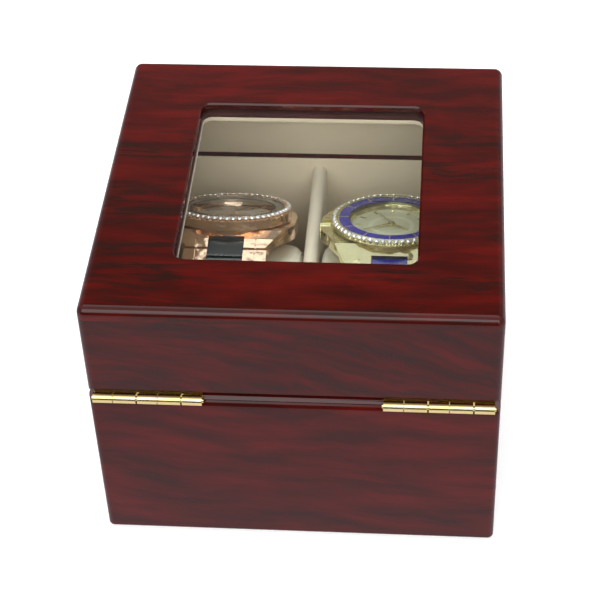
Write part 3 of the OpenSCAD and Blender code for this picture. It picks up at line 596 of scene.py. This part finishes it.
# Depth of the cover inside the plain cushion where the bracelet holds it flat, half the width of
# that stretch, and the width over which the cover rises beside it
HELD_DEPTH = 0.25 * MM
HELD_HALF = 15.2 * MM
HELD_RISE = 4 * MM
# Room kept between a pillow and what lies next to it, which is looked for this far out, from this
# far inside the plain cushion
PILLOW_ROOM = 0.35 * MM
LOOK_OUT = 12 * MM
LOOK_FROM = 0.2 * MM
# Distance of a seam from the cushion's end, and its cord's radius, sides and steps round the end
SEAM_INSET = 1.6 * MM
SEAM_R = 0.55 * MM
SEAM_SIDES = 8
SEAM_STEPS = 96
# Share of the cord's radius by which it is sunk into the cover
SEAM_SUNK = 0.35


def neighbours():
    """Surface tree of every piece that could touch a pillow."""
    points, faces = [], []
    for name, node in NODES.items():
        if name.endswith("_cushion") or name in ("lid_top", "glass_pane"):
            continue
        start = len(points)
        points += [v.co.copy() for v in node.data.vertices]
        faces += [[start + i for i in p.vertices] for p in node.data.polygons]
    return BVHTree.FromPolygons(points, faces)


def apply_modifiers(piece):
    """Makes what the piece's modifiers show its own mesh."""
    shaped = bpy.data.meshes.new_from_object(
        piece.evaluated_get(bpy.context.evaluated_depsgraph_get()))
    piece.modifiers.clear()
    piece.data = shaped


def stuff(piece):
    """Blows the piece's cover up by cloth simulation, and keeps the result."""
    cloth = piece.modifiers.new("stuffing", "CLOTH")
    settings = cloth.settings
    settings.quality = 6
    settings.mass = 0.2
    settings.tension_stiffness = settings.compression_stiffness = 18
    settings.shear_stiffness = 8
    settings.bending_stiffness = 0.4
    settings.use_pressure = True
    settings.uniform_pressure_force = STUFFING_PRESSURE
    settings.effector_weights.gravity = 0
    cloth.collision_settings.use_collision = False
    cloth.collision_settings.use_self_collision = False
    cloth.point_cache.frame_start = 1
    cloth.point_cache.frame_end = STUFFING_FRAMES
    for frame_number in range(1, STUFFING_FRAMES + 1):
        bpy.context.scene.frame_set(frame_number)
    apply_modifiers(piece)
    bpy.context.scene.frame_set(1)


def smooth_step(share):
    share = min(1.0, max(0.0, share))
    return share * share * (3 - 2 * share)


def hold_in(piece, rest, plain, own_frame, around):
    """Keeps each point of the stuffed cover near the plain cushion and clear of what is round it.

    rest is where the points were before the stuffing."""
    inward = own_frame.inverted()
    cover = BVHTree.FromPolygons([v.co for v in plain.vertices], [p.vertices for p in plain.polygons])
    for v, start in zip(piece.data.vertices, rest):
        push = v.co - start
        if push.length > STUFFING_REACH:
            v.co = start + push * (STUFFING_REACH / push.length)
        spot, normal, _, _ = cover.find_nearest(v.co)
        if normal.dot(spot - own_frame.translation) < 0:
            normal = -normal
        free = smooth_step((abs((inward @ v.co).x) - HELD_HALF) / HELD_RISE)
        limit = -HELD_DEPTH + free * (PILLOW_BULGE + HELD_DEPTH)
        hit = around.ray_cast(spot - normal * LOOK_FROM, normal, LOOK_OUT)
        if hit[0] is not None:
            limit = min(limit, hit[3] - LOOK_FROM - PILLOW_ROOM)
        if (v.co - spot).dot(normal) > limit:
            v.co = spot + normal * limit


def soften(piece):
    """Evens a cover's small dents by averaging each point with its neighbours, twice."""
    mesh = bmesh.new()
    mesh.from_mesh(piece.data)
    for _ in range(2):
        bmesh.ops.smooth_vert(mesh, verts=mesh.verts, factor=0.4,
                              use_axis_x=True, use_axis_y=True, use_axis_z=True)
    mesh.to_mesh(piece.data)
    mesh.free()


def pillow(watch, material, around):
    """Stuffed velour pillow with corded seams round both ends."""
    own_frame = leaning_frame(watch)
    inward = own_frame.inverted()
    plain = NODES[f"{watch}_cushion"].data
    piece = into_scene(bpy.data.objects.new(f"{watch}_pillow", plain.copy()))
    half = max(abs((inward @ v.co).x) for v in plain.vertices)
    for v in piece.data.vertices:
        own = inward @ v.co
        own.x *= (half - START_SHORTER) / half
        own.y *= START_DEPTH
        own.z *= START_HEIGHT
        v.co = own_frame @ own
    remesh = piece.modifiers.new("remesh", "REMESH")
    remesh.mode = "VOXEL"
    remesh.voxel_size = COVER_VOXEL
    apply_modifiers(piece)
    rest = [v.co.copy() for v in piece.data.vertices]
    stuff(piece)
    hold_in(piece, rest, plain, own_frame, around)
    soften(piece)
    fine = piece.modifiers.new("fine", "SUBSURF")
    fine.levels = fine.render_levels = 1
    apply_modifiers(piece)
    smooth_faces(piece.data)
    wear(piece, material)
    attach(piece, "base")
    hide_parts(f"{watch}_cushion")
    skin = BVHTree.FromObject(piece, bpy.context.evaluated_depsgraph_get())
    for side, end in ((-1, "left"), (1, "right")):
        seam(f"{watch}_pillow_seam_{end}", skin, own_frame, side * (half - SEAM_INSET), material)


def seam(name, skin, own_frame, x, material):
    """Seam cord that lies on the pillow's cover, in the plane x of the pillow's frame."""
    path = []
    start = own_frame @ Vector((x, 0, 0))
    for i in range(SEAM_STEPS):
        turn = 2 * math.pi * i / SEAM_STEPS
        way = own_frame.to_3x3() @ Vector((0, math.cos(turn), math.sin(turn)))
        hit = skin.ray_cast(start, way)
        path.append(hit[0] - way * SEAM_R * SEAM_SUNK if hit[0] is not None else start)
    piece = closed_cord(name, path)
    wear(piece, material)
    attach(piece, "base")


def closed_cord(name, path):
    """Round cord along a closed path of points."""
    mesh = bmesh.new()
    rings = []
    count = len(path)
    for i, point in enumerate(path):
        along = (path[(i + 1) % count] - path[i - 1]).normalized()
        side = along.cross(Vector((1, 0, 0)))
        side = (side if side.length > 1e-6 else along.cross(Vector((0, 1, 0)))).normalized()
        rise = along.cross(side)
        turns = (2 * math.pi * k / SEAM_SIDES for k in range(SEAM_SIDES))
        rings.append([mesh.verts.new(point + (side * math.cos(a) + rise * math.sin(a)) * SEAM_R)
                      for a in turns])
    for one, two in zip(rings, rings[1:] + rings[:1]):
        for k in range(SEAM_SIDES):
            nxt = (k + 1) % SEAM_SIDES
            mesh.faces.new((one[k], one[nxt], two[nxt], two[k]))
    bmesh.ops.recalc_face_normals(mesh, faces=mesh.faces)
    piece = mesh_piece(name, mesh)
    smooth_faces(piece.data)
    return piece


# ---------------------------------------------------------------- stones

# Cut stone, from its seat: radius and height of its girdle, shoulder and table, and its point
STONE_R = 0.93 * MM
GIRDLE_DEPTH = 0.12 * MM
SHOULDER_R = 0.80 * STONE_R
TABLE_R = 0.5 * STONE_R
TABLE_HEIGHT = 0.42 * MM
SHOULDER_HEIGHT = 0.52 * TABLE_HEIGHT
POINT_DEPTH = 0.75 * MM
# Prong bead: radius, distance from the row's middle line, and height above the stones' seats
PRONG_R = 0.27 * MM
PRONG_ASIDE = 0.62 * MM
PRONG_HEIGHT = 0.02 * MM
# Cosine of the most that a packed stone's end faces lean away from the watch's axis
FACES_UP = 0.7


def stone_places(watch):
    """Centre, outward axis and half depth of every packed stone."""
    mesh = bmesh.new()
    mesh.from_mesh(NODES[f"{watch}_stones"].data)
    bmesh.ops.remove_doubles(mesh, verts=mesh.verts, dist=SAME_POINT)
    left = set(mesh.verts)
    watch_up = dial_axis(watch)[1]
    places = []
    for first in mesh.verts:
        if first not in left:
            continue
        left.remove(first)
        group, queue = [], [first]
        while queue:
            vert = queue.pop()
            group.append(vert)
            for edge in vert.link_edges:
                other = edge.other_vert(vert)
                if other in left:
                    left.remove(other)
                    queue.append(other)
        centre = sum((v.co for v in group), Vector()) / len(group)
        caps = [f for v in group for f in v.link_faces if abs(f.normal.dot(watch_up)) > FACES_UP]
        axis = max((f.normal for f in caps), key=lambda n: n.dot(watch_up)).copy()
        depth = max((v.co - centre).dot(axis) for v in group)
        places.append((centre, axis.normalized(), depth))
    mesh.free()
    return places


def cut_stones(watch, material):
    """Round stones with a flat table and eight kite facets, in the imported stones' places."""
    chance = random.Random(7)
    mesh = bmesh.new()
    eighth = math.pi / 4
    for centre, axis, depth in stone_places(watch):
        lean = Matrix.Rotation(chance.uniform(0, eighth), 3, axis)
        side = lean @ axis.orthogonal().normalized()
        rise = axis.cross(side)

        def at(radius, turn, height):
            return mesh.verts.new(centre + axis * (depth + height)
                                  + (side * math.cos(turn) + rise * math.sin(turn)) * radius)

        table = [at(TABLE_R, k * eighth, TABLE_HEIGHT) for k in range(8)]
        middle = [at(SHOULDER_R, (k + 0.5) * eighth, SHOULDER_HEIGHT) for k in range(8)]
        girdle = [at(STONE_R, k * eighth / 2, 0) for k in range(16)]
        low = [at(STONE_R, k * eighth / 2, -GIRDLE_DEPTH) for k in range(16)]
        point = at(0, 0, -POINT_DEPTH)
        mesh.faces.new(table)
        for k in range(8):
            mesh.faces.new((table[k], middle[k], table[(k + 1) % 8]))
            mesh.faces.new((table[k], middle[k - 1], girdle[2 * k], middle[k]))
            mesh.faces.new((middle[k], girdle[2 * k], girdle[2 * k + 1]))
            mesh.faces.new((middle[k], girdle[2 * k + 1], girdle[(2 * k + 2) % 16]))
        for k in range(16):
            nxt = (k + 1) % 16
            mesh.faces.new((girdle[k], low[k], low[nxt], girdle[nxt]))
            mesh.faces.new((low[k], point, low[nxt]))
    bmesh.ops.recalc_face_normals(mesh, faces=mesh.faces)
    piece = mesh_piece(f"{watch}_cut_stones", mesh)
    wear(piece, material)
    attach(piece, "base")
    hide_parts(f"{watch}_stones")


def prongs(watch, material):
    """Small metal beads that hold the stones, two between each pair of neighbours."""
    places = stone_places(watch)
    axis = dial_axis(watch)[1]
    middle = sum((p[0] for p in places), Vector()) / len(places)
    across = Vector((1, 0, 0))
    other = axis.cross(across)
    places.sort(key=lambda p: math.atan2((p[0] - middle).dot(other), (p[0] - middle).dot(across)))
    mesh = bmesh.new()
    for (one, up, depth), (two, _, _) in zip(places, places[1:] + places[:1]):
        between = (one + two) / 2
        outward = between - middle
        outward -= axis * outward.dot(axis)
        outward.normalize()
        outward -= up * outward.dot(up)
        outward.normalize()
        for aside in (-PRONG_ASIDE, PRONG_ASIDE):
            spot = between + outward * aside + up * (depth + PRONG_HEIGHT)
            bmesh.ops.create_uvsphere(mesh, u_segments=8, v_segments=6, radius=PRONG_R,
                                      matrix=Matrix.Translation(spot))
    piece = mesh_piece(f"{watch}_prongs", mesh)
    smooth_faces(piece.data)
    wear(piece, material)
    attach(piece, "base")


# ---------------------------------------------------------------- stage

# What the lamps and cards face
AIM = Vector((0, 0, 0.07))
# Side of the square floor, and how far below the box it lies
FLOOR_SIZE = 6
FLOOR_Z = -0.0002
# Light that the room sends onto every surface
SKY_FILL = (0.2, 0.2, 0.2)
# Brightness of the room in reflections
ROOM_IN_GLOSS = (0.5, 0.5, 0.5)


def toward(azimuth, elevation):
    """Direction from the box, in degrees, with the azimuth counted from the rear toward +X."""
    turn, rise = math.radians(azimuth), math.radians(elevation)
    return Vector((math.sin(turn) * math.cos(rise), math.cos(turn) * math.cos(rise),
                   math.sin(rise)))


def softbox(name, azimuth, elevation, distance, size, radiance, in_gloss=True):
    """Soft lamp facing the box. Reflections show it only where in_gloss is true."""
    data = bpy.data.lights.new(name, "AREA")
    data.shape = "RECTANGLE"
    data.size, data.size_y = size
    data.energy = radiance * math.pi * size[0] * size[1]
    lamp = into_scene(bpy.data.objects.new(name, data))
    lamp.location = AIM + toward(azimuth, elevation) * distance
    lamp.rotation_euler = (AIM - lamp.location).to_track_quat("-Z", "Y").to_euler()
    lamp.visible_glossy = in_gloss


def card(name, azimuth, elevation, distance, size, *levels, along="Y"):
    """Card that only reflections see, as a photographer hangs to shape them.

    levels are pairs of place on the card, in metres from its middle, and brightness. Y runs up
    the card, and X from the side of +X to the side of -X."""
    mesh = bpy.data.meshes.new(name)
    w, h = size[0] / 2, size[1] / 2
    mesh.from_pydata([(-w, -h, 0), (w, -h, 0), (w, h, 0), (-w, h, 0)], [], [(0, 1, 2, 3)])
    made = into_scene(bpy.data.objects.new(name, mesh))
    way = toward(azimuth, elevation)
    made.location = AIM + way * distance
    made.rotation_euler = way.to_track_quat("Z", "Y").to_euler()
    for ray in ("camera", "diffuse", "shadow", "transmission", "volume_scatter"):
        setattr(made, f"visible_{ray}", False)
    g = Graph(name)
    span = size["XY".index(along)]
    share = g.maths("MULTIPLY_ADD", g.coordinate(along), 1 / span, 0.5)
    share = g.maths("MULTIPLY_ADD", g.noise(g.place(), 200, detail=2), 0.01, share)
    shade = g.ramp(share, *((place / span + 0.5, level) for place, level in levels))
    wear(made, g.finish(Base_Color=(0.0, 0.0, 0.0), Emission_Color=shade, Emission_Strength=1.0,
                        Roughness=1.0, Specular_IOR_Level=0.0))


def make_world():
    """Even room light, white where it is looked at, and duller in reflections."""
    world = bpy.data.worlds.new("studio")
    bpy.context.scene.world = world
    world.use_nodes = True
    g = Tree(world.node_tree)
    ray = g.add("ShaderNodeLightPath").outputs
    looks = g.maths("MAXIMUM", ray["Is Camera Ray"], ray["Is Transmission Ray"])
    unseen = g.mix(ray["Is Glossy Ray"], SKY_FILL, ROOM_IN_GLOSS)
    g.put(g.tree.nodes["Background"].inputs["Color"], g.mix(looks, unseen, (1, 1, 1)))


def make_stage():
    bpy.ops.mesh.primitive_plane_add(size=FLOOR_SIZE, location=(0, 0, FLOOR_Z))
    floor = bpy.context.object
    floor.name = "floor"
    wear(floor, pale_floor())
    # Lamps: azimuth, elevation, distance, size and radiance
    softbox("rear_softbox", 4, 40, 1.25, (1.9, 1.2), 3.1)
    softbox("front_softbox", 180, 68, 1.2, (1.4, 0.62), 1.3)
    softbox("front_fill", 180, 44, 1.3, (1.5, 0.8), 2.8, in_gloss=False)
    softbox("top_fill", 150, 82, 1.3, (1.3, 0.8), 2.2, in_gloss=False)
    # Cards: azimuth, elevation, distance, size and levels
    card("front_card", 180, 30, 1.6, (3.4, 1.0),
         (-0.5, 0.36), (0.14, 0.33), (0.34, 0.145), (0.45, 0.07))
    card("rear_card", -6, 25, 1.0, (0.7, 0.42),
         (-0.35, 2.8), (-0.125, 1.8), (-0.04, 0.4), (0.35, 0.15), along="X")
    card("top_card", 0, 89, 1.15, (2.4, 1.0), (-0.5, 0.9), (0.5, 0.9))
    card("low_card", 10, 3, 0.5, (1.0, 0.38), (-0.19, 0.02), (0.19, 0.02))
    make_world()


make_camera()
dress_box()
dress_watches()
finish_edges()
make_stage()
bpy.context.scene.view_settings.view_transform = "Standard"
